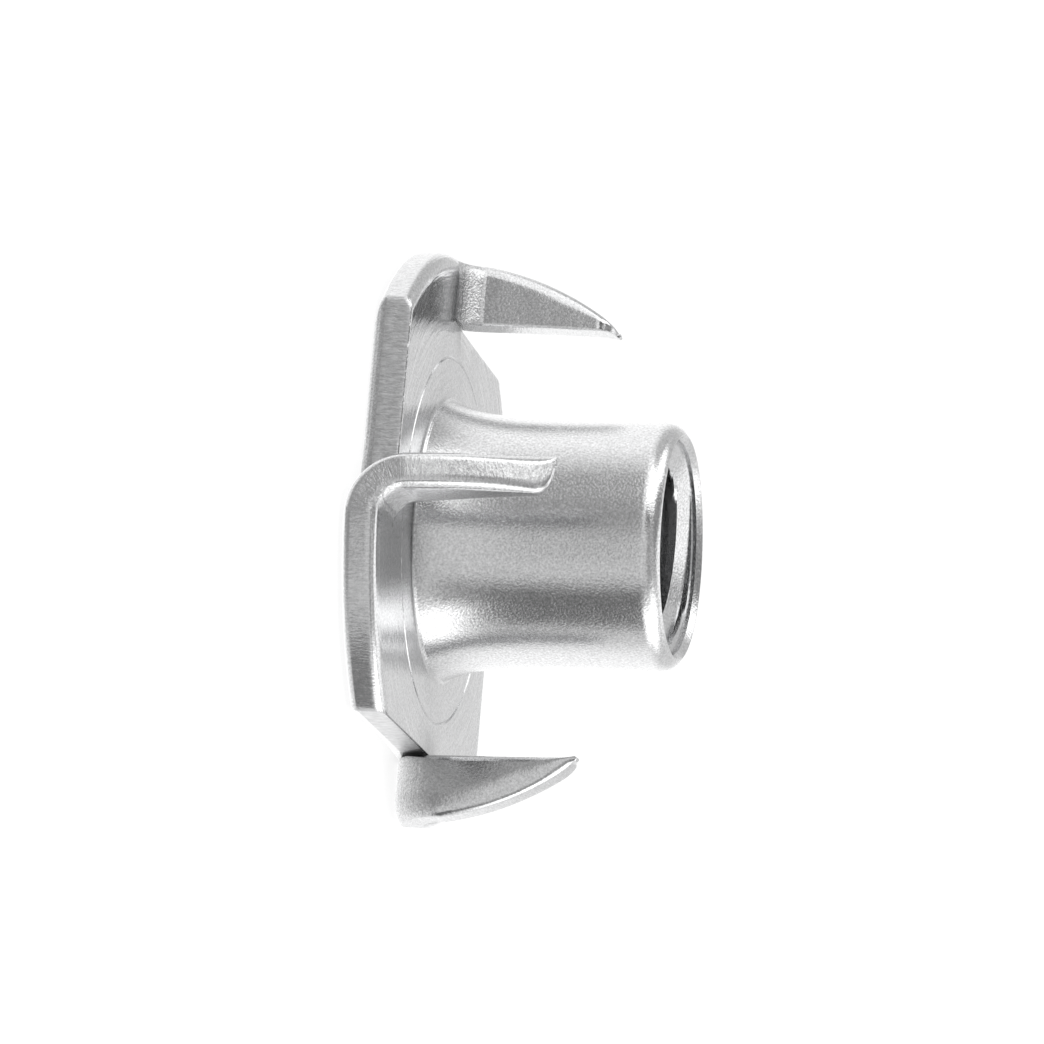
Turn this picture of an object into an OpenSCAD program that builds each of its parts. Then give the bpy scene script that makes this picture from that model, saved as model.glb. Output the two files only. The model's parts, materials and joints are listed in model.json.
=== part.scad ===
// Four-pronged tee nut: a round blank drawn into a threaded barrel, slit four times at
// the rim and bent up into four prongs that stand round the barrel like a pinwheel.
// The nut stands on its flange: z = 0 is the flange's outer face, +Z runs along the barrel.

/* [Thread] */
// Bore at the crests of the thread (minor diameter)
bore_d = 6.647; // [3:0.001:8.4]
// Outer diameter of the thread, which the mouth clears
thread_d = 8; // [4:0.1:9]

/* [Barrel] */
// Height from the flange's outer face to the mouth
total_h = 11; // [7:0.1:25]
// Outer diameter of the barrel just above the flared root
barrel_root_d = 10.2; // [9.5:0.1:13]
// Outer diameter of the barrel at the mouth
barrel_mouth_d = 9.65; // [9.5:0.05:13]
// How far the flare spreads past the barrel where it meets the flange
flare_w = 0.5; // [0.1:0.05:2]
// Height of the flare above the flange
flare_h = 1.9; // [0.5:0.1:3]
// Outside radius of the rounded lip
lip_r = 0.6; // [0.2:0.05:0.65]
// Inside rounding of the lip
lip_in = 0.2; // [0.05:0.05:0.4]
// Depth of the straight rim inside the mouth
mouth_rim = 0.4; // [0.2:0.05:1]
// Depth of the countersink below that rim
mouth_sink = 0.4; // [0.2:0.05:1]
// Radius of the drawn entry at the flange's outer face
entry_r = 1.3; // [0.5:0.1:2]

/* [Flange] */
// Diameter of the round blank
flange_d = 22.7; // [20:0.1:32]
// Thickness of the sheet
sheet_t = 1.5; // [1:0.05:2]
// Diameter of the ring that the drawing tool leaves on the flange
ring_d = 14.6; // [14.2:0.1:17]
// Width of that ring's groove
ring_w = 0.16; // [0.1:0.01:0.4]
// Depth of that ring's groove
ring_depth = 0.05; // [0.02:0.01:0.2]
// How far in from the rim the blanking rolls the lower face off
roll_w = 1; // [0.4:0.05:1.5]
// How high it lifts the rim's lower edge
roll_h = 0.3; // [0.1:0.05:0.5]
// Rounding of the rim's upper edge
rim_top_r = 0.2; // [0.05:0.01:0.4]

/* [Prongs] */
// Number of prongs
prongs = 4; // [3:1:5]
// Distance from the axis to the slits
slit_at = 8.7; // [8:0.05:12]
// Width of the slit between a prong's foot and the flange
slit_w = 0.1; // [0.05:0.01:0.3]
// Distance from the axis to the outer face of a prong, at its bend
prong_off = 0.8; // [-1:0.1:2]
// Inside radius of the bend
bend_r = 1; // [0.4:0.1:1.6]
// Spring-back of the bend: how far the prongs stay short of upright, in degrees
spring_back = 4.5; // [0:0.5:8]
// Width of a prong's blunt tip
tip_w = 0.1; // [0.05:0.05:1]
// Radius that rounds the tip over from the inner face
tip_r = 0.7; // [0.2:0.05:1.2]

/* [Hidden] */
$fn = 96;
// Segments to each rounding of the rim
edge_steps = 4;
// Step down from flange to bend and from bend to blade, so that no two faces all but meet
seam = 0.02;

bore_r = bore_d / 2;
thread_r = thread_d / 2;
flange_r = flange_d / 2;
ring_r = ring_d / 2;
root_r = barrel_root_d / 2;
mouth_r = barrel_mouth_d / 2;
flare_r = root_r + flare_w;
flare_top = sheet_t + flare_h;
// Radius of the arc that flares the root: it leaves the wall upright
flare_arc = (pow(flare_h, 2) + pow(flare_w, 2)) / (2 * flare_w);
// Radius of the arc that rolls the lower face off at the rim: it leaves that face level
roll_arc = (pow(roll_w, 2) + pow(roll_h, 2)) / (2 * roll_h);
// Outside radius of the bend; its axis lies above the line where it leaves the flange
bend_out = bend_r + sheet_t;
bend_from = prong_off - bend_out;
// Distance from the axis at which the rim crosses the start of the bend
bend_rim = sqrt(pow(flange_r, 2) - pow(bend_from, 2));
// Length of a prong's blade past the bend: its tip is the corner between slit and rim
blade_len = sqrt(pow(flange_r, 2) - pow(slit_at + tip_w, 2)) + bend_from;

function arc(c, r, from, to) =
    [for (i = [0 : edge_steps]) let (a = from + (to - from) * i / edge_steps) c + r * [cos(a), sin(a)]];

// Outline of the sheet near a rim `outer` from the axis: x is the distance from the axis, y
// the height above the lower face. `inset` draws the outline in on every side.
function rim_outline(inner, outer, inset) =
    let (roll_end = asin((roll_w - inset) / (roll_arc - inset)) - 90)
    concat(
        [[inner, inset]],
        arc([outer - roll_w, roll_arc], roll_arc - inset, -90, roll_end),
        arc([outer - rim_top_r, sheet_t - rim_top_r], rim_top_r - inset, 0, 90),
        [[inner, sheet_t - inset]]
    );

// Half section of the drawn cup: flange, flared root, tapered wall and rounded lip
module cup_section() {
    difference() {
        union() {
            polygon(rim_outline(bore_r, flange_r, 0));
            translate([bore_r, sheet_t / 2]) square([flare_r - bore_r, flare_top - sheet_t / 2]);
            polygon([
                [bore_r, sheet_t],
                [root_r, sheet_t],
                [root_r, flare_top],
                [mouth_r, total_h - lip_r],
                [mouth_r - lip_r, total_h],
                [bore_r, total_h]
            ]);
            translate([mouth_r - lip_r, total_h - lip_r]) circle(lip_r);
        }
        flare_cut();
        entry_cut();
        mouth_cut();
        ring_cut();
    }
}

// Hollow side of the flare
module flare_cut() {
    intersection() {
        translate([root_r + flare_arc, flare_top]) circle(flare_arc);
        translate([root_r, sheet_t]) square([flare_r, flare_h]);
    }
}

// Funnel that the drawing leaves at the flange's outer face
module entry_cut() {
    difference() {
        translate([bore_r - 1, -1]) square(entry_r + 1);
        translate([bore_r + entry_r, entry_r]) circle(entry_r);
    }
}

// Straight rim and countersink that lead a bolt into the thread, and the lip's inside rounding
module mouth_cut() {
    sink_top = total_h - mouth_rim;
    polygon(concat(
        [
            [bore_r - 1, sink_top - mouth_sink],
            [bore_r, sink_top - mouth_sink],
            [thread_r, sink_top]
        ],
        arc([thread_r + lip_in, total_h - lip_in], lip_in, 180, 90),
        [[thread_r + lip_in, total_h + 1], [bore_r - 1, total_h + 1]]
    ));
}

// Mark of the pressure ring
module ring_cut() {
    translate([ring_r - ring_w, sheet_t - ring_depth]) square([ring_w, 1]);
}

// What one prong takes out of the flange: all that lies past its slit and its bend
module prong_gap() {
    translate([slit_at - slit_w, bend_from, -1]) cube([flange_r, flange_r * 2, sheet_t + 2]);
}

// Foot of a prong: the sheet's own section carried through a quarter turn
module prong_bend() {
    translate([0, bend_from, bend_out]) rotate([0, 90, 0]) rotate_extrude(angle = 90 - spring_back)
        polygon([for (p = rim_outline(slit_at, bend_rim, seam)) [bend_out - p[1], p[0]]]);
}

// Blade of a prong: one edge is the slit, the other the rim of the blank. It is made
// upright on the end of the bend, with the bend's axis as its origin, and then leans back.
module prong_blade() {
    translate([0, bend_from, bend_out]) rotate([-spring_back, 0, 0]) intersection() {
        translate([0, bend_out, bend_from]) rotate([90, 0, 0]) rotate_extrude()
            polygon(rim_outline(0, flange_r, 2 * seam));
        translate([slit_at + seam, 0, 0]) rotate([90, 0, 90]) linear_extrude(flange_r)
            blade_side();
    }
}

// Side view of a blade: its tip is rounded over from the inner face
module blade_side() {
    inner = bend_r + 2 * seam;
    polygon(concat(
        [[0, -seam], [bend_out * 2, -seam], [bend_out * 2, blade_len]],
        arc([inner + tip_r, blade_len - tip_r], tip_r, 90, 180),
        [[inner, blade_len - tip_r - seam], [0, blade_len - tip_r - seam]]
    ));
}

// The prongs trail clockwise, seen from the mouth
module each_prong() {
    for (i = [0 : prongs - 1]) rotate([0, 0, i * 360 / prongs]) mirror([0, 1, 0]) children();
}

module tee_nut() {
    color("silver") union() {
        difference() {
            rotate_extrude() cup_section();
            each_prong() prong_gap();
        }
        each_prong() prong_bend();
        each_prong() prong_blade();
    }
}

tee_nut();
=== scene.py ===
import json
from math import acos, atan2, cos, pi, radians, sin, sqrt, tan

import bmesh
import bpy
from mathutils import Matrix, Vector
from mathutils.bvhtree import BVHTree


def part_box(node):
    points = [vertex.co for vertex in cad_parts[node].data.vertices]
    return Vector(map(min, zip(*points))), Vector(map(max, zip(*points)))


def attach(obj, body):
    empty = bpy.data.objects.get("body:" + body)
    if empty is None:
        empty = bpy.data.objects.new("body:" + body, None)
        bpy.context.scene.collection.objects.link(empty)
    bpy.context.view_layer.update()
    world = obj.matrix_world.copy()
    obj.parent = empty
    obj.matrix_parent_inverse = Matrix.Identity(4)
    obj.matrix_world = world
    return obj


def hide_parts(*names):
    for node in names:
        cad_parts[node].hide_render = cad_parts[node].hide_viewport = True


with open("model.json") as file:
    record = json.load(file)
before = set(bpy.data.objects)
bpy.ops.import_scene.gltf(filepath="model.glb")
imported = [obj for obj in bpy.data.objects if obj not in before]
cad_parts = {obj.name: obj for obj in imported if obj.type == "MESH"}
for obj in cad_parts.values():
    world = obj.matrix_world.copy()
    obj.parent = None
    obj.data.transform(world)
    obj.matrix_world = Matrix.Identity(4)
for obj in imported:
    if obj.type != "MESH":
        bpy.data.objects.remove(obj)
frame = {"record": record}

bl_info = {
    "name": "Tee nut",
    "version": (1, 0, 0),
    "blender": (4, 5, 0),
    "location": "View3D > Sidebar > Tee nut",
    "description": "A four-pronged tee nut, pressed from sheet steel, threaded and zinc plated",
    "category": "Add Mesh",
}

MM = 0.001
NODE = "tee_nut"
TOTAL_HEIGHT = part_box(NODE)[1][2]
THREAD_MOUNT = next(m for m in frame["record"]["mounts"] if m["name"] == "thread")
BORE_RADIUS = THREAD_MOUNT["dims"]["r_mm"] * MM
# The blank is slit in four, and all its sums are those of a quarter
PRONGS = 4


# ---------------------------------------------------------------- settings


def length(name, description, default):
    """A length property, with its default in metres."""
    return bpy.props.FloatProperty(
        name=name, description=description, default=default, min=0, precision=5, unit="LENGTH"
    )


def angle(name, description, degrees):
    """An angle property, with its default in degrees."""
    return bpy.props.FloatProperty(
        name=name, description=description, default=radians(degrees), subtype="ANGLE"
    )


def amount(name, description, default):
    """A plain number."""
    return bpy.props.FloatProperty(
        name=name, description=description, default=default, precision=4
    )


def colour(name, description, default):
    """A colour, as red, green and blue."""
    return bpy.props.FloatVectorProperty(
        name=name, description=description, default=default, size=3, min=0, max=1, subtype="COLOR"
    )


class TeeNutSheet(bpy.types.PropertyGroup):
    """Sizes of the blank, its slits and its bends."""

    flange_radius: length("Flange radius", "Radius of the round blank", 11.35 * MM)
    thickness: length("Thickness", "Thickness of the sheet", 1.5 * MM)
    ring_radius: length("Ring radius", "Outer radius of the pressure ring's mark", 7.3 * MM)
    ring_width: length("Ring width", "Width of the ring's mark", 0.13 * MM)
    ring_depth: length("Ring depth", "Depth of the ring's mark", 0.05 * MM)
    roll_width: length("Roll width", "How far in from the rim the lower face rolls off", 0.85 * MM)
    roll_height: length("Roll height", "Height at which the roll has run into the rim", 0.5 * MM)
    rim_round: length("Rim round", "Height of the rounding of the rim's upper edge", 0.33 * MM)
    rim_shoulder: length("Rim shoulder", "Width of the upper edge's rounding", 0.55 * MM)
    cut_roll_width: length("Cut roll width", "Width of the roll at the slits", 0.3 * MM)
    cut_roll_height: length("Cut roll height", "Height of the roll at the slits", 0.65 * MM)
    cut_round: length("Cut round", "Rounding of a slit's upper edge", 0.1 * MM)
    slit_at: length("Slit distance", "Distance from the axis to the slits", 8.7 * MM)
    slit_width: length("Slit width", "Gap between a prong's foot and the flange", 0.1 * MM)
    prong_offset: length("Prong offset", "From the axis to a prong's outer face", 0.8 * MM)
    bend_radius: length("Bend radius", "Inside radius of the bend", 1.0 * MM)
    spring_back: angle("Spring-back", "How far the prongs stay short of upright", 4.5)
    edge_lean: angle("Edge lean", "Lean of a prong's outer edge, in towards its outer face", 2)
    tip_width: length("Tip width", "Width of a prong's rounded tip", 0.22 * MM)
    tip_length: length("Tip length", "Length of the part that thins to the tip", 0.75 * MM)
    tip_thinning: length("Tip thinning", "How much thinner the sheet is at the tip", 1.05 * MM)


class TeeNutBarrel(bpy.types.PropertyGroup):
    """Sizes of the drawn barrel and its thread."""

    wall_radius: length("Wall radius", "Outer radius where the wall is straight", 4.9 * MM)
    flare_width: length("Flare width", "How far the flare spreads at the flange", 0.7 * MM)
    flare_height: length("Flare height", "Height over the flange where the flare ends", 6.5 * MM)
    flare_power: amount("Flare power", "How steeply the flare dies out", 4.5)
    root_fillet: length("Root fillet", "Fillet between flare and flange", 0.2 * MM)
    lip_round: length("Lip round", "Radius that leads the wall in to the mouth's edge", 0.78 * MM)
    edge_radius: length("Edge radius", "Distance from the axis to the mouth's edge", 4.4 * MM)
    edge_round: length("Edge round", "Rounding of the mouth's edge", 0.05 * MM)
    rim_radius: length("Rim radius", "Radius of the short rim inside the mouth", 4.16 * MM)
    mouth_rim: length("Mouth rim", "Depth at which the countersink starts", 0.4 * MM)
    mouth_sink: length("Countersink", "Depth of the countersink below the short rim", 0.4 * MM)
    entry_round: length("Entry round", "Radius of the drawn entry below", 1.3 * MM)
    thread_radius: length("Thread radius", "Major radius of the thread", 4.0 * MM)
    pitch: length("Pitch", "Pitch of the thread", 1.25 * MM)


class TeeNutFinish(bpy.types.PropertyGroup):
    """Zinc plate over drawn steel."""

    zinc: colour("Zinc", "Colour of the plate", (0.66, 0.662, 0.667))
    roughness: amount("Roughness", "Roughness of the plate", 0.1)
    sheared_roughness: amount("Sheared roughness", "Roughness of the sheared faces", 0.38)
    sheared_shade: amount("Sheared shade", "How much darker the sheared faces are", 0.04)
    grain_size: length("Grain size", "Size of the orange peel that the drawing leaves", 0.09 * MM)
    grain_depth: length("Grain depth", "Depth of the orange peel", 0.0115 * MM)
    flat_grain: amount("Flat grain", "Share of the peel's depth in the flat sheet", 0.5)
    drawn_reach: length("Drawn reach", "How far from the axis the drawn skin reaches", 6.0 * MM)
    mottle: amount("Mottle", "How far the grain lightens and darkens the plate", 1.15)
    score_size: length("Score size", "Width of the score lines on sheared faces", 0.1 * MM)
    score_depth: length("Score depth", "Depth of the score lines", 0.028 * MM)
    strain_gain: amount("Strain", "How much deeper the grain is in the bends", 3.2)
    streak_size: length("Streak size", "Spacing of the draw lines round the flange", 0.3 * MM)
    streak_depth: length("Streak depth", "Depth of the draw lines", 0.024 * MM)
    # Painted shade: the plate's colour is darkened where other metal closes in on it, as occlusion
    # shades it
    painted_shade_reach: length("Recess reach", "Reach at which other metal dulls the plate", 3.0 * MM)
    painted_shade_gain: amount("Recess shade", "How much darker the plate is deep in a corner", 0.75)
    wave_size: length("Wave size", "Size of the slight waves in flat faces", 2.2 * MM)
    wave_depth: length("Wave depth", "Depth of the waves", 0.025 * MM)
    face_height: length("Face height", "Height of the flange's upper face", 1.5 * MM)


class TeeNutStage(bpy.types.PropertyGroup):
    """Camera, floor and light. Light levels are those that the nut reflects; 1 is white."""

    azimuth: angle("Azimuth", "Where the camera stands round the nut, from +X", 104.34)
    elevation: angle("Elevation", "Height of the camera over the flange", 12.6)
    roll: angle("Roll", "Turn of the camera about its view", 91.58)
    distance: length("Distance", "From the camera to the point it looks at", 220 * MM)
    frame_width: length("Frame width", "Width of the view at the aim", 41.09 * MM)
    aim: bpy.props.FloatVectorProperty(
        name="Aim",
        description="The point that the camera looks at",
        default=(0.783 * MM, 0.296 * MM, 4.587 * MM),
        precision=5,
        subtype="TRANSLATION",
    )
    floor_radius: length("Floor radius", "Radius of the pale floor", 600 * MM)
    floor_gap: length("Floor gap", "How far the floor lies below the nut", 0.02 * MM)
    floor_colour: colour("Floor colour", "Colour of the floor", (0.4, 0.4, 0.4))
    floor_white: amount("Floor white", "Level added to the lit floor to make it white", 0.8)
    fill: amount("Fill", "Level of the light on the floor", 0.75)
    front: amount("Front", "Level of the tent on the camera's side", 0.77)
    back: amount("Back", "Level of the tent behind the nut", 0.83)
    sweep: amount("Sweep", "Level of the white sweep behind and below", 1.31)
    side: amount("Side", "Level of the tent beside the right panel", 0.66)
    top: amount("Top", "Level of the panel over the backdrop", 1.35)
    hollow: amount("Hollow", "Level of the opening over the camera", 0.36)
    low: amount("Low", "Level of the tent low under the camera", 0.46)
    panel: amount("Panels", "Level of the soft panels", 2.1)
    glow: amount("Glow", "Level of the lit paper round the panels", 1.1)
    flag: amount("Flags", "Level of the dark flags beside the camera", 0.19)
    screen: amount("Screens", "Level of the grey screens beside the camera", 0.43)


# ---------------------------------------------------------------- small tools


def steps(low, high, parts):
    """parts + 1 values from low to high."""
    return [low + (high - low) * i / parts for i in range(parts + 1)]


def lerp(a, b, share):
    return a + (b - a) * share


def turned(a, b, share):
    """A point between a and b, both turned and drawn out from the axis by that share."""
    angle_a, angle_b = atan2(a.y, a.x), atan2(b.y, b.x)
    reach = lerp(a.xy.length, b.xy.length, share)
    turn = lerp(angle_a, angle_b, share)
    return Vector((reach * cos(turn), reach * sin(turn), lerp(a.z, b.z, share)))


class Wire:
    """An output socket that takes part in expressions. Each operator adds its Math node."""

    def __init__(self, net, socket):
        self.net = net
        self.socket = socket

    def math(self, operation, *values):
        return self.net.node("ShaderNodeMath", dict(enumerate(values)), operation=operation)

    def __add__(self, other):
        return self.math("ADD", self, other)

    def __radd__(self, other):
        return self.math("ADD", other, self)

    def __sub__(self, other):
        return self.math("SUBTRACT", self, other)

    def __rsub__(self, other):
        return self.math("SUBTRACT", other, self)

    def __mul__(self, other):
        return self.math("MULTIPLY", self, other)

    def __rmul__(self, other):
        return self.math("MULTIPLY", other, self)

    def __truediv__(self, other):
        return self.math("DIVIDE", self, other)

    def clamp(self, low, high):
        return self.math("MINIMUM", self.math("MAXIMUM", self, low), high)


class Net:
    """A node tree that is written as calls and expressions."""

    def __init__(self, tree):
        self.tree = tree

    def node(self, kind, sockets=None, output=0, **settings):
        """Adds a node with its settings, then the values or wires of its sockets."""
        made = self.tree.nodes.new(kind)
        for name, value in settings.items():
            setattr(made, name, value)
        for name, value in (sockets or {}).items():
            if isinstance(value, Wire):
                self.tree.links.new(value.socket, made.inputs[name])
            else:
                made.inputs[name].default_value = value
        return Wire(self, made.outputs[output]) if made.outputs else None

    def outputs(self, wire):
        """The other outputs of the node that a wire comes from."""
        return {s.name: Wire(self, s) for s in wire.socket.node.outputs}


class GeometryNet(Net):
    """A Geometry Nodes tree with named inputs, whose end sets the material."""

    def __init__(self, name, inputs, material):
        super().__init__(bpy.data.node_groups.new(name, "GeometryNodeTree"))
        self.values = inputs
        self.material = material
        face = self.tree.interface
        face.new_socket("Geometry", in_out="INPUT", socket_type="NodeSocketGeometry")
        face.new_socket("Geometry", in_out="OUTPUT", socket_type="NodeSocketGeometry")
        for label, value in inputs.items():
            kind = "NodeSocketInt" if isinstance(value, int) else "NodeSocketFloat"
            face.new_socket(label, in_out="INPUT", socket_type=kind)
        self.start = self.tree.nodes.new("NodeGroupInput")

    def input(self, label):
        return Wire(self, self.start.outputs[label])

    def end(self, geometry):
        """Closes the tree: real geometry, smooth, with its material."""
        real = self.node("GeometryNodeRealizeInstances", {"Geometry": geometry})
        smooth = self.node("GeometryNodeSetShadeSmooth", {"Geometry": real})
        dressed = self.node(
            "GeometryNodeSetMaterial", {"Geometry": smooth, "Material": self.material}
        )
        last = self.tree.nodes.new("NodeGroupOutput")
        self.tree.links.new(dressed.socket, last.inputs[0])

    def apply(self, mesh, name):
        """Runs the tree on a mesh and returns a plain object with the result."""
        source = bpy.data.objects.new(f"{name}_source", mesh)
        bpy.context.collection.objects.link(source)
        modifier = source.modifiers.new(self.tree.name, "NODES")
        modifier.node_group = self.tree
        for socket in self.tree.interface.items_tree:
            if socket.in_out == "INPUT" and socket.name in self.values:
                modifier[socket.identifier] = self.values[socket.name]
        graph = bpy.context.evaluated_depsgraph_get()
        result = bpy.data.meshes.new_from_object(source.evaluated_get(graph), depsgraph=graph)
        bpy.data.objects.remove(source)
        made = bpy.data.objects.new(name, result)
        bpy.context.collection.objects.link(made)
        return made


class Patches:
    """Grids of faces. Walls carry a map of their grain and a mark where they were sheared."""

    def __init__(self):
        self.mesh = bmesh.new()
        self.grain = self.mesh.loops.layers.uv.new("grain")
        self.sheared = self.mesh.faces.layers.float.new("sheared")
        self.strain = self.mesh.verts.layers.float.new("strain")
        self.worn = self.mesh.verts.layers.float.new("worn")

    def grid(self, rows, grain=None, sheared=(0, 0, 0), strain=None, worn_end=False):
        """Faces between rows of points. grain gives a wall's map, point by point, sheared
        the depths between which it was cut and how coarsely, and strain how far each row's
        skin was roughened by bending. worn_end marks the rows' last points as a worn edge."""
        points = [[self.mesh.verts.new(p) for p in row] for row in rows]
        for row in points:
            row[-1][self.worn] = 1 if worn_end else 0
        for row, value in zip(points, strain or []):
            for point in row:
                point[self.strain] = value
        for i in range(len(rows) - 1):
            for j in range(len(rows[0]) - 1):
                corners = ((i, j), (i, j + 1), (i + 1, j + 1), (i + 1, j))
                face = self.mesh.faces.new([points[a][b] for a, b in corners])
                if grain:
                    depth = sum(grain[a][b][1] for a, b in corners) / 4
                    face[self.sheared] = sheared[2] if sheared[0] < depth < sheared[1] else 0
                    for loop, (a, b) in zip(face.loops, corners):
                        loop[self.grain].uv = grain[a][b]

    def finished(self, name):
        result = bpy.data.meshes.new(name)
        self.mesh.to_mesh(result)
        self.mesh.free()
        return result


# ---------------------------------------------------------------- the sheet


# Divisions of the mesh
SECTOR_COLUMNS = 36
CHORD_COLUMNS = 12
QUARTER_COLUMNS = SECTOR_COLUMNS + CHORD_COLUMNS
SECTOR_ROWS = 12
ROLL_LEVELS = 10
SIDE_LEVELS = 5
ROUND_LEVELS = 5
BEND_STATIONS = 26
BLADE_STATIONS = 44
TIP_STATIONS = 6

# Share along the neighbour's cut of the last row of points before the rim
LAST_BUT_ONE = 0.975
# A sheared face starts this share up its roll, and ends this share up its upper rounding
SHEAR_FROM = 0.7
SHEAR_TO = 0.6
# How coarse the shear is on the rim, on the flange's cuts and on a prong's slit edge
RIM_COARSE = 0.55
CUT_COARSE = 1
BLADE_COARSE = 0.4
# Share of a cut's rolls that is left at the slit's end, and how far along they are full
SLIT_EASE = 0.1
SLIT_RUN = 0.4
# Near a prong's tip its rolls take up this share of its width
TIP_ROOM = 0.75
# Shares of the bend over which its roughened skin starts and ends
STRAIN_RISE = 0.3
STRAIN_FALL = 0.35
# Where the floor of the pressure ring's mark lies, as shares of its width from outside
GROOVE_FLOOR = (0.6, 0.4)


class Sheet:
    """The blank's geometry. Local u runs out along a prong's bend line, which lies bend_line
    from the axis; the prong's slit runs across it. Heights z are measured in the sheet."""

    def __init__(self, sizes):
        self.sizes = sizes
        self.radius = sizes.flange_radius
        self.t = sizes.thickness
        self.bend_out = sizes.bend_radius + self.t
        self.bend_line = self.bend_out - sizes.prong_offset
        self.cut_at = sizes.slit_at - sizes.slit_width
        self.turn = pi / 2 - sizes.spring_back
        self.levels = self.wall_levels()
        self.rim_shear = self.shear(sizes.roll_height, sizes.rim_round, RIM_COARSE)
        self.cut_shear = self.shear(sizes.cut_roll_height, sizes.cut_round, CUT_COARSE)
        self.blade_shear = self.shear(sizes.cut_roll_height, sizes.cut_round, BLADE_COARSE)
        # Share of the cut that is a chord of the flange, next to the prong's foot
        self.waist = 2 * self.bend_line / (self.cut_corner(self.t) + self.bend_line)

    def shear(self, roll_height, top_round, coarse):
        """Heights between which a wall shows the shear, and how coarse it is."""
        return (SHEAR_FROM * roll_height, self.t - SHEAR_TO * top_round, coarse)

    def wall_levels(self):
        """Heights of the rows on a rim or a cut, from the lower face to the upper."""
        s = self.sizes
        roll = steps(0, s.roll_height, ROLL_LEVELS)
        side = steps(s.roll_height, self.t - s.rim_round, SIDE_LEVELS)
        top = [self.t - s.rim_round * (1 - sin(a)) for a in steps(0, pi / 2, ROUND_LEVELS)]
        return roll[:-1] + side[:-1] + top

    def rim_inset(self, z):
        """How far the blank's edge lies inside its radius at a height in the sheet."""
        s = self.sizes
        under = max(1 - z / s.roll_height, 0)
        over = max(z - self.t + s.rim_round, 0)
        round_over = 1 - sqrt(max(1 - (over / s.rim_round) ** 2, 0))
        return s.roll_width * under**3 + s.rim_shoulder * round_over

    def cut_inset(self, z):
        """The same for the face that the slit leaves."""
        s = self.sizes
        under = max(1 - z / s.cut_roll_height, 0)
        over = max(z - self.t + s.cut_round, 0)
        return s.cut_roll_width * under**3 + s.cut_round - sqrt(max(s.cut_round**2 - over**2, 0))

    def eased(self, share):
        """Share of a cut's rolls that is left at share 0, its slit's end, and beyond."""
        return lerp(SLIT_EASE, 1, min(max(share, 0), 1))

    def cut_corner(self, z):
        """Distance along the cut, from abreast of the axis, at which it meets the rim."""
        rim = self.radius - self.rim_inset(z)
        return sqrt(rim**2 - (self.cut_at - self.cut_inset(z)) ** 2)

    def cut_point(self, share, z, neighbour=False):
        """Point on the flange's cut face: share 0 is the slit's end and 1 the rim. The
        neighbour's cut is the one that ends this quarter."""
        u = self.cut_at - self.eased(share / SLIT_RUN) * self.cut_inset(z)
        along = lerp(-self.bend_line, self.cut_corner(z), share)
        return Vector((along, u, z)) if neighbour else Vector((u, -along, z))

    def foot_point(self, share, z):
        """Point on the bend line: share 0 is the prong's slit edge and 1 the rim."""
        slit = self.sizes.slit_at + SLIT_EASE * self.cut_inset(z)
        rim = sqrt((self.radius - self.rim_inset(z)) ** 2 - self.bend_line**2)
        return Vector((lerp(slit, rim, share), self.bend_line, z))

    def waist_share(self, row):
        """Share along the neighbour's cut at which a row of the sector ends."""
        return 1 if row == SECTOR_ROWS else lerp(self.waist, LAST_BUT_ONE, row / (SECTOR_ROWS - 1))

    def sector_row(self, row, z):
        """A row of the outer sector, from the bend line round to the neighbour's cut."""
        if row == 0:
            start = self.cut_point(0, z)
        else:
            start = self.foot_point((row - 1) / (SECTOR_ROWS - 1), z)
        end = self.cut_point(self.waist_share(row), z, neighbour=True)
        return [turned(start, end, share) for share in steps(0, 1, SECTOR_COLUMNS)]

    def chord(self, z):
        """The part of the cut beside the prong's foot."""
        return [self.cut_point(share, z) for share in steps(self.waist, 0, CHORD_COLUMNS)]

    def first_angle(self):
        """Angle at which a quarter starts."""
        corner = self.cut_point(self.waist, self.t)
        return atan2(corner.y, corner.x)

    def circle(self, radius, z):
        """The quarter of a ring whose points face those of the chord and the sector."""
        start = self.first_angle()
        angles = steps(start, start + pi / 2, QUARTER_COLUMNS)
        return [Vector((radius * cos(a), radius * sin(a), z)) for a in angles]

    def bent(self, u, z, turn, reach):
        """A point of the prong: z deep in the sheet, after a turn and a reach up the blade."""
        arm = self.bend_out - z
        along = self.bend_line - arm * sin(turn) - reach * cos(turn)
        return Vector((u, along, self.bend_out - arm * cos(turn) + reach * sin(turn)))

    def prong_edges(self, z, turn, reach):
        """The slit's and the rim's distance from the axis at a height in the sheet."""
        s = self.sizes
        across = reach + self.bend_line
        room = sqrt(self.radius**2 - across**2) - s.slit_at
        ease = min(1, TIP_ROOM * room / (s.roll_width + s.cut_roll_width))
        slit = s.slit_at + ease * self.eased(2 * turn / self.turn - 1) * self.cut_inset(z)
        rim = sqrt((self.radius - ease * self.rim_inset(z)) ** 2 - across**2)
        lean = ease * tan(s.edge_lean) * turn / self.turn
        return slit, rim - lean * (self.t - z)

    def bend_strain(self, turn):
        """1 in the bend, running out towards the flange and the blade."""
        share = turn / self.turn
        return min(1, share / STRAIN_RISE, (1 - share) / STRAIN_FALL)

    def thinned(self, reach):
        """Share of the sheet's thickness at a reach: the tip is rounded over on the inside."""
        s = self.sizes
        over = (reach - self.blade_length()) / s.tip_length + 1
        drop = 1 - sqrt(1 - min(max(over, 0), 1) ** 2)
        return 1 - drop * s.tip_thinning / self.t

    def blade_length(self):
        """Reach at which the blade is as wide as its tip."""
        s = self.sizes
        return sqrt(self.radius**2 - (s.slit_at + s.tip_width) ** 2) - self.bend_line


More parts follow.
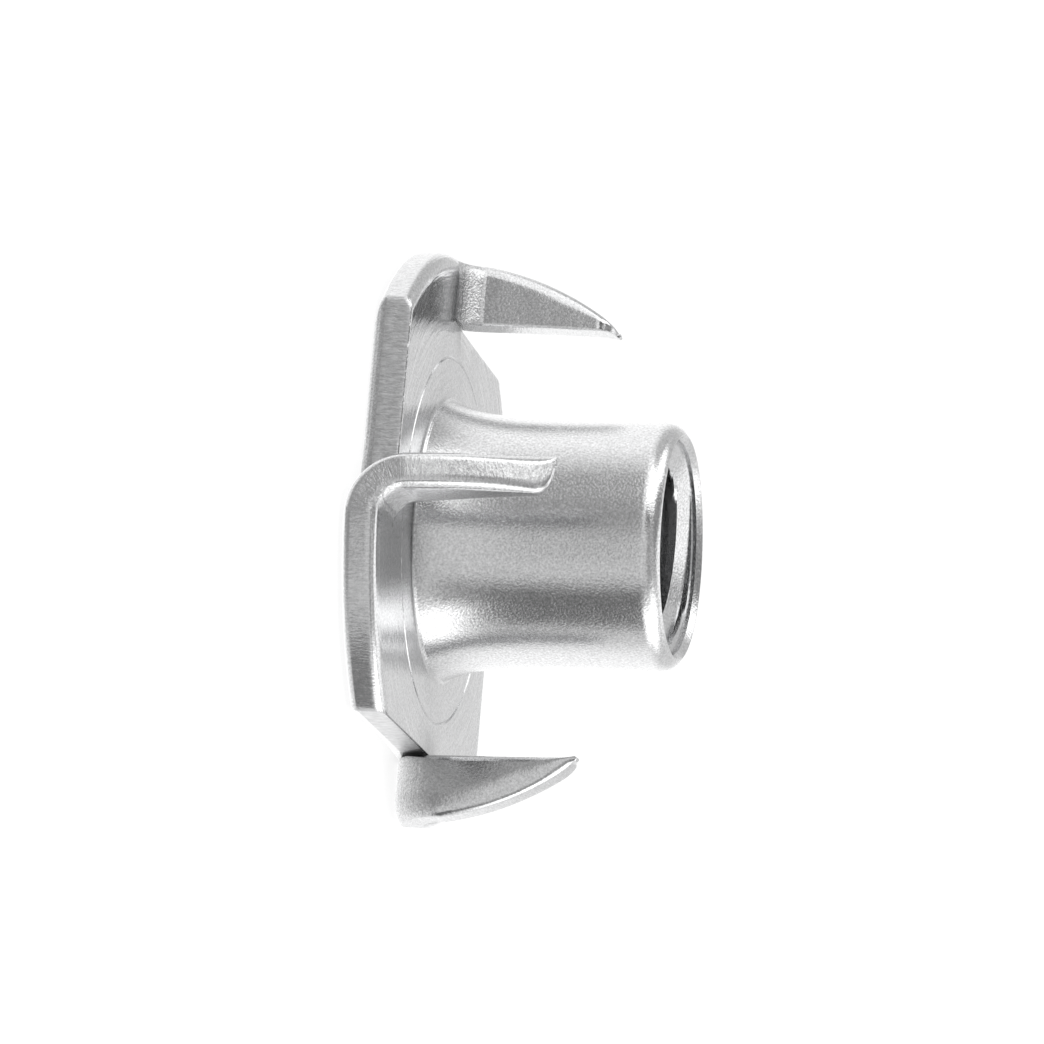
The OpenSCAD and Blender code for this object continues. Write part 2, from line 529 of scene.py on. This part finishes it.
def flange_quarter(sheet, patches, inner_top, inner_low):
    """One quarter of the flange: both faces, the rim and the cut faces."""
    s = sheet.sizes
    t = sheet.t
    levels = sheet.levels
    groove = [(1, 0), *((share, s.ring_depth) for share in GROOVE_FLOOR), (0, 0)]
    rows = [sheet.circle(inner_top, t)]
    for share, depth in groove:
        rows.append(sheet.circle(s.ring_radius - share * s.ring_width, t - depth))
    for z, inside in ((t, rows), (0, [sheet.circle(inner_low, 0)])):
        edge = sheet.chord(z) + sheet.sector_row(0, z)[1:]
        patches.grid(inside + [edge])
        patches.grid([sheet.sector_row(row, z) for row in range(SECTOR_ROWS + 1)])

    rim = [sheet.sector_row(SECTOR_ROWS, z) for z in levels]
    around = [[(sheet.radius * atan2(p.y, p.x), p.z) for p in row] for row in rim]
    patches.grid(rim, around, sheet.rim_shear, worn_end=True)
    ends = [sheet.waist_share(row) for row in range(SECTOR_ROWS + 1)]
    far = [[sheet.cut_point(share, z, neighbour=True) for share in ends] for z in levels]
    patches.grid(far, [[(p.x, p.z) for p in row] for row in far], sheet.cut_shear, worn_end=True)
    near = [sheet.chord(z) for z in levels]
    patches.grid(near, [[(-p.y, p.z) for p in row] for row in near], sheet.cut_shear)
    stop = [[sheet.cut_point(0, z), sheet.foot_point(0, z)] for z in levels]
    patches.grid(stop, [[(p.x, p.z) for p in row] for row in stop], sheet.cut_shear)


def prong(sheet, patches):
    """A prong: the sheet's section carried round the bend and up to a rounded tip."""
    # A station is a turn round the bend, a reach up the blade and a share of its width
    full_turn, blade = sheet.turn, sheet.blade_length()
    stations = [(turn, 0, 1) for turn in steps(0, full_turn, BEND_STATIONS)]
    stations += [(full_turn, reach, 1) for reach in steps(0, blade, BLADE_STATIONS)[1:]]
    nose = sheet.sizes.tip_width / 2
    for a in steps(0, pi / 2, TIP_STATIONS)[1:]:
        stations.append((full_turn, blade + nose * sin(a), cos(a)))
    middle = sheet.sizes.slit_at + nose

    def section(station, share, z):
        turn, reach, full = station
        slit, rim = sheet.prong_edges(z, turn, min(reach, blade))
        u = lerp(middle, lerp(slit, rim, share), full)
        return sheet.bent(u, z * sheet.thinned(reach), turn, reach)

    strain = [sheet.bend_strain(station[0]) for station in stations]

    def wall(share, sheared):
        rows = [[section(station, share, z) for z in sheet.levels] for station in stations]
        grain = [
            [(turn * sheet.bend_out + reach, z) for z in sheet.levels]
            for turn, reach, _ in stations
        ]
        patches.grid(rows, grain, sheared, strain)

    for z in (0, sheet.t):
        shares = steps(0, 1, SECTOR_ROWS - 1)
        rows = [[section(station, share, z) for share in shares] for station in stations]
        patches.grid(rows, strain=strain)
    wall(0, sheet.blade_shear)
    wall(1, sheet.rim_shear)


# ---------------------------------------------------------------- the barrel


WALL_ROWS = 40
ARC_ROWS = 12
FILLET_ROWS = 5
EDGE_ROWS = 6
THREAD_ROWS_PER_PITCH = 16
# How closely the wall's rows crowd towards its foot; 1 is even
WALL_CROWDING = 1.5
# Widths of the thread's crest and root, as shares of the pitch
CREST = 0.25
ROOT = 0.125


def barrel_profile(b, thickness):
    """Outside of the barrel, from the flange up to the mouth's edge and down inside to the
    countersink, as (radius, height) pairs."""
    flare_top = thickness + b.flare_height

    def wall_radius(height):
        share = max((flare_top - height) / b.flare_height, 0)
        return b.wall_radius + b.flare_width * share**b.flare_power

    lean = atan2(b.flare_power * b.flare_width, b.flare_height)
    low = thickness + b.root_fillet * (1 - sin(lean))
    centre = wall_radius(low) + b.root_fillet * cos(lean)
    fillet = [
        (centre - b.root_fillet * cos(a), thickness + b.root_fillet * (1 - sin(a)))
        for a in steps(pi / 2, lean, FILLET_ROWS)
    ]
    # The lip's arc leaves the wall upright and runs into the rounding of the edge
    reach = b.lip_round - b.edge_round
    end = acos((b.edge_radius + b.lip_round - b.wall_radius) / reach)
    edge_height = TOTAL_HEIGHT - b.edge_round
    lip_centre = (b.wall_radius - b.lip_round, edge_height - reach * sin(end))
    heights = [lerp(low, lip_centre[1], share**WALL_CROWDING) for share in steps(0, 1, WALL_ROWS)]
    wall = [(wall_radius(height), height) for height in heights]
    lip = [
        (lip_centre[0] + b.lip_round * cos(a), lip_centre[1] + b.lip_round * sin(a))
        for a in steps(0, end, ARC_ROWS)
    ]
    edge = [
        (b.edge_radius + b.edge_round * cos(a), edge_height + b.edge_round * sin(a))
        for a in steps(end, 3 * pi / 4, EDGE_ROWS)
    ]
    drop = edge[-1][0] - b.rim_radius
    foot = TOTAL_HEIGHT - b.mouth_rim
    inside = [(b.rim_radius, edge[-1][1] - drop), (b.rim_radius, foot), (b.thread_radius, foot)]
    return fillet + wall[1:] + lip[1:] + edge[1:] + inside


def entry_profile(b):
    """The drawn entry from the lower face up to where the thread starts to cut it."""
    centre = BORE_RADIUS + b.entry_round
    end = acos((centre - b.thread_radius) / b.entry_round)
    return [
        (centre - b.entry_round * cos(a), b.entry_round * (1 - sin(a)))
        for a in steps(pi / 2, end, ARC_ROWS)
    ]


def profile_mesh(name, points):
    """A line of vertices in the XZ plane, for the revolve tree."""
    result = bpy.data.meshes.new(name)
    edges = [(i, i + 1) for i in range(len(points) - 1)]
    result.from_pydata([(r, 0, z) for r, z in points], edges, [])
    return result


def unit_grid(net, columns, rows):
    """A grid one metre square round the origin, with that many vertices each way."""
    return net.node(
        "GeometryNodeMeshGrid",
        {"Size X": 1.0, "Size Y": 1.0, "Vertices X": columns, "Vertices Y": rows},
    )


def polar(net, radius, turn, height):
    """The position at a radius, an angle and a height."""
    x, y = radius * turn.math("COSINE", turn), radius * turn.math("SINE", turn)
    return net.node("ShaderNodeCombineXYZ", {"X": x, "Y": y, "Z": height})


def moved(net, grid, radius, turn, height):
    """The grid with its points at those radii, angles and heights."""
    place = polar(net, radius, turn, height)
    return net.node("GeometryNodeSetPosition", {"Geometry": grid, "Position": place})


def revolve(name, points, columns, start, material):
    """Turns a profile about Z with Geometry Nodes."""
    inputs = {"Columns": columns, "Start": start, "Rows": len(points)}
    net = GeometryNet("Revolve a profile", inputs, material)
    profile = Wire(net, net.start.outputs["Geometry"])
    grid = unit_grid(net, net.input("Columns") + 1, net.input("Rows"))
    place = net.node("GeometryNodeInputPosition")
    across = net.node("ShaderNodeSeparateXYZ", {0: place})
    turn = net.input("Start") + (across + 0.5) * (2 * pi)
    row = (net.outputs(across)["Y"] + 0.5) * (net.input("Rows") - 1)
    index = net.node("FunctionNodeFloatToInt", {0: row})
    point = net.node(
        "GeometryNodeSampleIndex",
        {"Geometry": profile, "Value": place, "Index": index},
        data_type="FLOAT_VECTOR",
        domain="POINT",
    )
    radius = net.node("ShaderNodeSeparateXYZ", {0: point})
    net.end(moved(net, grid, radius, turn, net.outputs(radius)["Z"]))
    return net.apply(profile_mesh(name, points), name)


def thread(b, columns, start, material):
    """The threaded bore as one helical grid, cut back by the entry and the countersink."""
    entry_reach = BORE_RADIUS + b.entry_round - b.thread_radius
    low = b.entry_round - sqrt(b.entry_round**2 - entry_reach**2)
    sink_top = TOTAL_HEIGHT - b.mouth_rim
    turns = (sink_top - low) / b.pitch + 1
    rows = int(turns * THREAD_ROWS_PER_PITCH) + 2
    net = GeometryNet(
        "Cut a thread",
        {
            "Columns": columns,
            "Rows": rows,
            "Start": start,
            "Pitch": b.pitch,
            "Bore radius": BORE_RADIUS,
            "Thread radius": b.thread_radius,
            "Low end": low,
            "High end": sink_top,
            "Entry round": b.entry_round,
            "Countersink": b.mouth_sink,
        },
        material,
    )
    grid = unit_grid(net, net.input("Columns") + 1, net.input("Rows") + 1)
    across = net.node("ShaderNodeSeparateXYZ", {0: net.node("GeometryNodeInputPosition")})
    share = across + 0.5
    row = (net.outputs(across)["Y"] + 0.5) * net.input("Rows")
    pitch = net.input("Pitch")
    bore, major = net.input("Bore radius"), net.input("Thread radius")
    low_end, high_end = net.input("Low end"), net.input("High end")
    deep = major - bore
    # A row climbs one pitch in a turn, so the last column meets the first one pitch up
    climb = row / THREAD_ROWS_PER_PITCH + share
    height = (low_end + (climb - 1) * pitch).clamp(low_end, high_end)
    # Distance from the root's middle, in pitches
    phase = (height - low_end) / pitch - share
    away = phase.math("ABSOLUTE", phase.math("FRACT", phase) - 0.5)
    flank = 0.5 - CREST / 2 - ROOT / 2
    groove = ((0.5 - CREST / 2 - away) / flank).clamp(0, 1)
    cut = bore + deep * groove
    round_entry = net.input("Entry round")
    fall = (round_entry - height).clamp(0, 1)
    rise = round_entry * round_entry - fall * fall
    entry = bore + round_entry - rise.math("SQRT", rise)
    sink = major + (height - high_end) * deep / net.input("Countersink")
    radius = cut.math("MAXIMUM", cut.math("MAXIMUM", cut, entry), sink)
    net.end(moved(net, grid, radius, net.input("Start") + share * (2 * pi), height))
    return net.apply(profile_mesh("thread_bore", [(b.thread_radius, 0)]), "thread_bore")


def repeat_round(mesh, material):
    """Repeats a quarter round the axis with Geometry Nodes."""
    net = GeometryNet("Repeat round the axis", {"Count": PRONGS}, material)
    points = net.node("GeometryNodePoints", {"Count": net.input("Count")})
    index = net.node("GeometryNodeInputIndex")
    spin = net.node("ShaderNodeCombineXYZ", {"Z": index * (2 * pi) / net.input("Count")})
    copies = net.node(
        "GeometryNodeInstanceOnPoints",
        {"Points": points, "Instance": Wire(net, net.start.outputs["Geometry"]), "Rotation": spin},
    )
    net.end(copies)
    return net.apply(mesh, "flange_and_prongs")


# Vertices closer than SEAM are merged, and faces thinner than SLIVER are dropped
SEAM = 0.002 * MM
SLIVER = 0.0001 * MM
# Edges that turn more than this are sharp
SHARP = radians(32)


def joined(parts, name):
    """One closed mesh of the parts, with shared seams merged and faces pointing out."""
    with bpy.context.temp_override(
        active_object=parts[0], selected_objects=parts, selected_editable_objects=parts
    ):
        bpy.ops.object.join()
    whole = parts[0]
    whole.name = whole.data.name = name
    shell = bmesh.new()
    shell.from_mesh(whole.data)
    bmesh.ops.remove_doubles(shell, verts=shell.verts, dist=SEAM)
    bmesh.ops.dissolve_degenerate(shell, edges=shell.edges, dist=SLIVER)
    bmesh.ops.recalc_face_normals(shell, faces=shell.faces)
    shell.to_mesh(whole.data)
    shell.free()
    return whole


# Rays that gauge the occlusion from which shade is painted into the corners
PAINTED_SHADE_RAYS = 40
GOLDEN_ANGLE = pi * (3 - sqrt(5))
PAINTED_SHADE_LIFT = 0.01 * MM


def paint_shade_in_corners(whole, reach, bore):
    """Paints shade: marks how far other metal closes in on each point outside the bore, so that
    the plate's colour is darkened there.
    """
    fan = []
    for i in range(PAINTED_SHADE_RAYS):
        out = sqrt((i + 0.5) / PAINTED_SHADE_RAYS)
        spin = i * GOLDEN_ANGLE
        fan.append(Vector((out * cos(spin), out * sin(spin), sqrt(1 - out * out))))
    shell = bmesh.new()
    shell.from_mesh(whole.data)
    shell.normal_update()
    layer = shell.verts.layers.float.new("painted_shade")
    tree = BVHTree.FromBMesh(shell)
    for point in shell.verts:
        if point.co.xy.length < bore:
            continue
        facing = point.normal.to_track_quat("Z", "Y").to_matrix()
        start = point.co + point.normal * PAINTED_SHADE_LIFT
        closed = 0
        for ray in fan:
            gap = tree.ray_cast(start, facing @ ray, reach)[3]
            if gap is not None:
                closed += 1 - gap / reach
        point[layer] = closed / PAINTED_SHADE_RAYS
    shell.to_mesh(whole.data)
    shell.free()


# ---------------------------------------------------------------- finish


# Half height of the flange's face for the draw lines, and the widths over which they and
# the barrel's drawn skin fade out
FACE_BAND = 0.1 * MM
FACE_FADE = 0.05 * MM
DRAWN_FADE = 1.0 * MM
# Score lines run through the sheet: that way their noise changes this much more slowly
SCORE_STRETCH = 0.25
# How fast the draw lines change on the way round the axis
STREAK_RATE = 3
# How many dull and bright blotches the plate has to the metre, and how strong they are
BLOTCH_SCALE = 900.0
BLOTCH_GAIN = 0.08


def noise(net, vector, scale, detail, roughness=0.5):
    """Noise between 0 and 1."""
    sockets = {"Vector": vector, "Scale": scale, "Detail": detail, "Roughness": roughness}
    return net.node("ShaderNodeTexNoise", sockets)


def window(net, value, middle, reach, soft):
    """1 within reach of the middle, falling to 0 over soft beyond it."""
    away = value.math("ABSOLUTE", value - middle)
    return net.node(
        "ShaderNodeMapRange",
        {"Value": away, "From Min": reach, "From Max": reach + soft, "To Min": 1.0, "To Max": 0.0},
        interpolation_type="SMOOTHSTEP",
    )


def zinc_finish(look):
    """Bright zinc plate: orange peel on drawn faces, score lines on sheared ones, and painted
    shade in its corners.
    """
    made = bpy.data.materials.new("zinc_plated_steel")
    made.use_nodes = True
    made.node_tree.nodes.clear()
    net = Net(made.node_tree)
    place = net.outputs(net.node("ShaderNodeTexCoord"))["Object"]
    sheared = net.outputs(net.node("ShaderNodeAttribute", attribute_name="sheared"))["Fac"]
    strain = net.outputs(net.node("ShaderNodeAttribute", attribute_name="strain"))["Fac"]
    # Painted shade in the corners, from the occlusion marked on the mesh
    painted_shade = net.outputs(net.node("ShaderNodeAttribute", attribute_name="painted_shade"))["Fac"]
    along = net.node("ShaderNodeUVMap", uv_map="grain")

    peel = noise(net, place, 1 / look.grain_size, detail=3.5, roughness=0.6)
    across = net.node("ShaderNodeMapping", {"Vector": along, "Scale": (1, SCORE_STRETCH, 1)})
    score = noise(net, across, 1 / look.score_size, detail=2.5, roughness=0.65)
    # Draw lines run round the flange: noise that is fine outwards and long round the axis
    x = net.node("ShaderNodeSeparateXYZ", {0: place})
    y, z = net.outputs(x)["Y"], net.outputs(x)["Z"]
    reach = x.math("SQRT", x * x + y * y)
    round_axis = y.math("ARCTAN2", y, x) * STREAK_RATE
    ring = net.node("ShaderNodeCombineXYZ", {"X": reach / look.streak_size, "Y": round_axis})
    streak = noise(net, ring, 1.0, detail=2.0, roughness=0.55)
    on_flange = window(net, z, look.face_height, FACE_BAND, FACE_FADE)

    drawn = window(net, reach, 0, look.drawn_reach, DRAWN_FADE)
    coarse = look.flat_grain + (1 - look.flat_grain) * drawn + strain * look.strain_gain
    skin = peel * coarse * look.grain_depth + streak * on_flange * look.streak_depth
    wave = noise(net, place, 1 / look.wave_size, detail=1.0, roughness=0.4)
    height = skin * (1 - sheared) + score * sheared * look.score_depth + wave * look.wave_depth
    normal = net.node("ShaderNodeBump", {"Strength": 1.0, "Distance": 1.0, "Height": height})

    blotch = noise(net, place, BLOTCH_SCALE, detail=3.0)
    rough = look.roughness + (look.sheared_roughness - look.roughness) * sheared
    rough = rough + (blotch - 0.5) * BLOTCH_GAIN
    tone = 1 + ((peel - 0.5) * (1 - sheared) + (score - 0.5) * sheared) * look.mottle
    tone = tone * (1 - sheared * look.sheared_shade)
    # Painted shade: the plate is darker where other metal closes in on it
    tone = tone * (1 - painted_shade * (1 - sheared) * look.painted_shade_gain)
    plate = net.node("ShaderNodeVectorMath", {0: look.zinc, "Scale": tone}, operation="SCALE")
    shader = net.node(
        "ShaderNodeBsdfPrincipled",
        {"Base Color": plate, "Metallic": 1.0, "Roughness": rough, "Normal": normal},
    )
    net.node("ShaderNodeOutputMaterial", {"Surface": shader})
    return made


class TEENUT_OT_nut(bpy.types.Operator):
    """Press, bend, thread and plate the nut"""

    bl_idname = "teenut.nut"
    bl_label = "Tee nut"

    def execute(self, context):
        sizes = context.scene.tee_nut_sheet
        barrel = context.scene.tee_nut_barrel
        look = context.scene.tee_nut_finish
        material = zinc_finish(look)
        sheet = Sheet(sizes)
        columns = QUARTER_COLUMNS * PRONGS
        start = sheet.first_angle()
        outside = barrel_profile(barrel, sizes.thickness)
        entry = entry_profile(barrel)
        patches = Patches()
        flange_quarter(sheet, patches, outside[0][0], entry[0][0])
        prong(sheet, patches)
        parts = [
            repeat_round(patches.finished("quarter"), material),
            revolve("barrel_outside", outside, columns, start, material),
            revolve("entry", entry, columns, start, material),
            thread(barrel, columns, start, material),
        ]
        nut = joined(parts, "tee_nut_body")
        # Paints shade into the corners, from ray-cast occlusion
        paint_shade_in_corners(nut, look.painted_shade_reach, barrel.edge_radius - barrel.edge_round)
        nut.data.set_sharp_from_angle(angle=SHARP)
        worn = nut.data.attributes["worn"].data
        for edge in nut.data.edges:
            if all(worn[i].value > 0.5 for i in edge.vertices):
                edge.use_edge_sharp = False
        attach(nut, "root")
        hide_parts(NODE)
        return {"FINISHED"}


# ---------------------------------------------------------------- stage


# In millimetres, as a camera's sensor and lens are given
SENSOR_WIDTH = 36
NEAR_CLIP = 10 * MM
FAR_CLIP = 10
FLOOR_SEGMENTS = 96


def camera(stage):
    """The camera: it looks at the aim, turned so that the barrel lies across the picture."""
    data = bpy.data.cameras.new("camera")
    data.sensor_width = SENSOR_WIDTH
    data.lens = data.sensor_width * stage.distance / stage.frame_width
    data.clip_start = NEAR_CLIP
    data.clip_end = FAR_CLIP
    made = bpy.data.objects.new("camera", data)
    bpy.context.collection.objects.link(made)
    level = cos(stage.elevation)
    back = Vector((level * cos(stage.azimuth), level * sin(stage.azimuth), sin(stage.elevation)))
    upright = back.to_track_quat("Z", "Y").to_matrix().to_4x4()
    place = Matrix.Translation(Vector(stage.aim) + back * stage.distance)
    made.matrix_world = place @ upright @ Matrix.Rotation(stage.roll, 4, "Z")
    bpy.context.scene.camera = made


def studio(stage):
    """A light tent of grey and white paper with soft panels, screens and flags. Directions
    are in degrees: round from the camera, towards the side that it sees at the top, and up
    from level."""
    world = bpy.data.worlds.new("studio")
    world.use_nodes = True
    world.node_tree.nodes.clear()
    net = Net(world.node_tree)
    heading = net.outputs(net.node("ShaderNodeTexCoord"))["Generated"]
    east = net.node("ShaderNodeSeparateXYZ", {0: heading})
    north, rise = net.outputs(east)["Y"], net.outputs(east)["Z"]
    bearing = stage.azimuth - north.math("ARCTAN2", north, east)
    turn = bearing.math("WRAP", bearing, -pi, pi)
    lift = rise.math("ARCSINE", rise)

    def patch(level, under, at, up, wide, tall, soft, soft_up=6):
        """Lays a patch over what is under it. wide and tall are half its size, and the soft
        edges lie outside that."""
        around = turn.math("WRAP", turn - radians(at), -pi, pi)
        mask = window(net, around, 0, radians(wide), radians(soft))
        mask = mask * window(net, lift, radians(up), radians(tall), radians(soft_up))
        return under + (level - under) * mask

    # The tent is lighter behind the nut, and its floor there is a white sweep
    tent = patch(stage.back, stage.front, at=-152, up=0, wide=35, tall=90, soft=40)
    tent = patch(stage.side, tent, at=132, up=36, wide=36, tall=26, soft=14, soft_up=8)
    tent = patch(stage.sweep, tent, at=170, up=-32, wide=65, tall=20, soft=30, soft_up=28)
    tent = patch(stage.low, tent, at=10, up=-50, wide=30, tall=18, soft=24, soft_up=14)
    tent = patch(stage.hollow, tent, at=4, up=-28, wide=14, tall=11, soft=8, soft_up=3)
    tent = patch(stage.glow, tent, at=-92, up=-44, wide=18, tall=12, soft=28, soft_up=8)
    tent = patch(stage.low, tent, at=95, up=-84, wide=80, tall=6, soft=20, soft_up=8)
    tent = patch(stage.hollow, tent, at=-25, up=90, wide=45, tall=14, soft=30, soft_up=10)
    tent = patch(stage.low, tent, at=-14, up=46, wide=28, tall=10, soft=12, soft_up=8)
    tent = patch(stage.top, tent, at=-170, up=60, wide=26, tall=18, soft=10, soft_up=6)
    # Lit paper and the soft panels
    tent = patch(stage.sweep, tent, at=64, up=5, wide=26, tall=9, soft=6, soft_up=3)
    tent = patch(stage.glow, tent, at=33, up=7, wide=8, tall=7, soft=5, soft_up=3)
    tent = patch(stage.glow, tent, at=-86, up=28, wide=26, tall=28, soft=12, soft_up=7)
    tent = patch(stage.panel, tent, at=60, up=27, wide=20, tall=13, soft=3, soft_up=5)
    tent = patch(stage.panel, tent, at=92, up=46, wide=38, tall=9, soft=8, soft_up=5)
    tent = patch(stage.panel, tent, at=-92, up=40, wide=22, tall=18, soft=9, soft_up=6)
    tent = patch(stage.panel, tent, at=-80, up=13, wide=16, tall=6, soft=8, soft_up=5)
    tent = patch(stage.hollow, tent, at=85, up=79, wide=62, tall=21, soft=15, soft_up=3)
    # Grey screens and dark flags that part the camera's side from them
    tent = patch(stage.screen, tent, at=28, up=-20, wide=13, tall=19, soft=5, soft_up=3)
    tent = patch(stage.screen, tent, at=-45, up=1, wide=9, tall=13, soft=4, soft_up=6)
    tent = patch(stage.screen, tent, at=52, up=-24, wide=17, tall=17, soft=8, soft_up=3)
    tent = patch(stage.flag, tent, at=31, up=31, wide=8, tall=14, soft=3, soft_up=3)
    tent = patch(stage.flag, tent, at=-61, up=-16, wide=18, tall=8, soft=5, soft_up=6)

    path = net.outputs(net.node("ShaderNodeLightPath"))
    metal = (path["Is Glossy Ray"] + path["Is Transmission Ray"]).clamp(0, 1)
    seen = path["Is Camera Ray"]
    level = seen + (1 - seen) * (stage.fill + (tent - stage.fill) * metal)
    light = net.node("ShaderNodeBackground", {"Color": (1, 1, 1, 1), "Strength": level})
    net.node("ShaderNodeOutputWorld", {"Surface": light})
    bpy.context.scene.world = world


def floor(stage):
    """A pale floor. It is white to the camera, keeps the nut's soft shadow, and is clear from
    below, so that the nut's lower face can be looked at."""
    ground = bmesh.new()
    low = Matrix.Translation((0, 0, -stage.floor_gap))
    bmesh.ops.create_circle(
        ground, cap_ends=True, segments=FLOOR_SEGMENTS, radius=stage.floor_radius, matrix=low
    )
    data = bpy.data.meshes.new("floor")
    ground.to_mesh(data)
    ground.free()
    made = bpy.data.objects.new("floor", data)
    bpy.context.collection.objects.link(made)
    paper = bpy.data.materials.new("white_paper")
    paper.use_nodes = True
    paper.node_tree.nodes.clear()
    net = Net(paper.node_tree)
    path = net.outputs(net.node("ShaderNodeLightPath"))
    seen = path["Is Camera Ray"] + path["Is Glossy Ray"] + path["Is Transmission Ray"]
    white = seen.clamp(0, 1) * stage.floor_white
    lit = net.node("ShaderNodeBsdfDiffuse", {"Color": (*stage.floor_colour, 1)})
    glow = net.node("ShaderNodeEmission", {"Color": (1, 1, 1, 1), "Strength": white})
    both = net.node("ShaderNodeAddShader", {0: lit, 1: glow})
    below = net.outputs(net.node("ShaderNodeNewGeometry"))["Backfacing"]
    clear = net.node("ShaderNodeBsdfTransparent")
    shader = net.node("ShaderNodeMixShader", {0: below, 1: both, 2: clear})
    net.node("ShaderNodeOutputMaterial", {"Surface": shader})
    data.materials.append(paper)
    # The nut reflects the tent through the floor, which lies right under it
    made.visible_glossy = False


class TEENUT_OT_stage(bpy.types.Operator):
    """Set up the camera, the floor and the light"""

    bl_idname = "teenut.stage"
    bl_label = "Stage"

    def execute(self, context):
        stage = context.scene.tee_nut_stage
        camera(stage)
        studio(stage)
        floor(stage)
        context.scene.view_settings.view_transform = "Standard"
        return {"FINISHED"}


class TEENUT_PT_panel(bpy.types.Panel):
    """Lists what can be made"""

    bl_label = "Tee nut"
    bl_idname = "TEENUT_PT_panel"
    bl_space_type = "VIEW_3D"
    bl_region_type = "UI"
    bl_category = "Tee nut"

    def draw(self, context):
        for made in (TEENUT_OT_nut, TEENUT_OT_stage):
            self.layout.operator(made.bl_idname)
        for name in GROUPS:
            group = getattr(context.scene, name)
            box = self.layout.box()
            for setting in group.__annotations__:
                box.prop(group, setting)


GROUPS = {
    "tee_nut_sheet": TeeNutSheet,
    "tee_nut_barrel": TeeNutBarrel,
    "tee_nut_finish": TeeNutFinish,
    "tee_nut_stage": TeeNutStage,
}
CLASSES = (*GROUPS.values(), TEENUT_OT_nut, TEENUT_OT_stage, TEENUT_PT_panel)


def register():
    for cls in CLASSES:
        bpy.utils.register_class(cls)
    for name, group in GROUPS.items():
        setattr(bpy.types.Scene, name, bpy.props.PointerProperty(type=group))


def unregister():
    for name in GROUPS:
        delattr(bpy.types.Scene, name)
    for cls in reversed(CLASSES):
        bpy.utils.unregister_class(cls)


def main():
    register()
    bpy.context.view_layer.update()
    bpy.ops.teenut.nut()
    bpy.ops.teenut.stage()


if __name__ == "__main__":
    main()
